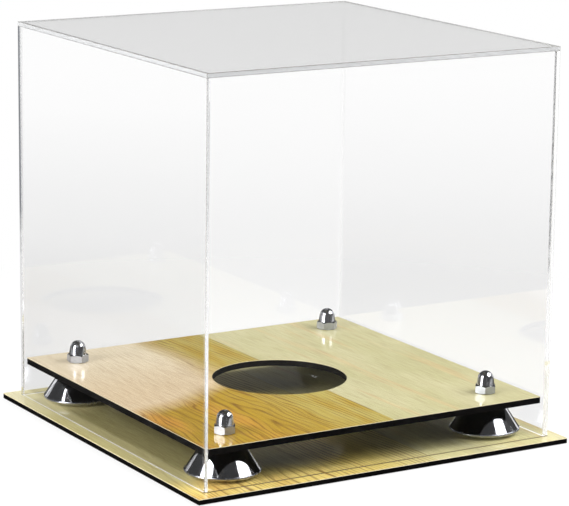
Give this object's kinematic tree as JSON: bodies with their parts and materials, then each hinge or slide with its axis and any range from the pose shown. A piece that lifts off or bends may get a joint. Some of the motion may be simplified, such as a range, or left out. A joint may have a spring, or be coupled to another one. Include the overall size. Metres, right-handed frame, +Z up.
{
  "type": "bowling ball display case",
  "caption": "Clear box cover over a raised veneered platform with a round ball seat, held on chromed conical risers by cap nuts.",
  "frame": {"origin": "centre of the base board's underside, on the surface that the case stands on", "axes": "+Z up, +X to the right along the front edge, +Y to the back"},
  "size_m": [0.272, 0.272, 0.2575],
  "materials": {
    "clear_acrylic": "clear, polished",
    "black_board": "black sheet with sawn and polished edges",
    "wood_veneer": "honey wood grain under clear gloss",
    "chrome_plate": "bright chrome plate",
    "screw_steel": "zinc-plated steel"
  },
  "bodies": {
    "base": {"base_board": "black_board", "base_veneer": "wood_veneer", "platform_board": "black_board", "platform_veneer": "wood_veneer", "riser_front_left": "chrome_plate", "riser_front_right": "chrome_plate", "riser_back_left": "chrome_plate", "riser_back_right": "chrome_plate", "screw_front_left": "screw_steel", "screw_front_right": "screw_steel", "screw_back_left": "screw_steel", "screw_back_right": "screw_steel", "cap_nut_front_left": "chrome_plate", "cap_nut_front_right": "chrome_plate", "cap_nut_back_left": "chrome_plate", "cap_nut_back_right": "chrome_plate"},
    "cover": {"cover_top": "clear_acrylic", "cover_front": "clear_acrylic", "cover_back": "clear_acrylic", "cover_left": "clear_acrylic", "cover_right": "clear_acrylic"}
  },
  "joints": [
    {"name": "cover_lift", "type": "slide", "parent": "base", "child": "cover", "axis": [0, 0, 1], "range_m": [0, 0.26]}
  ]
}
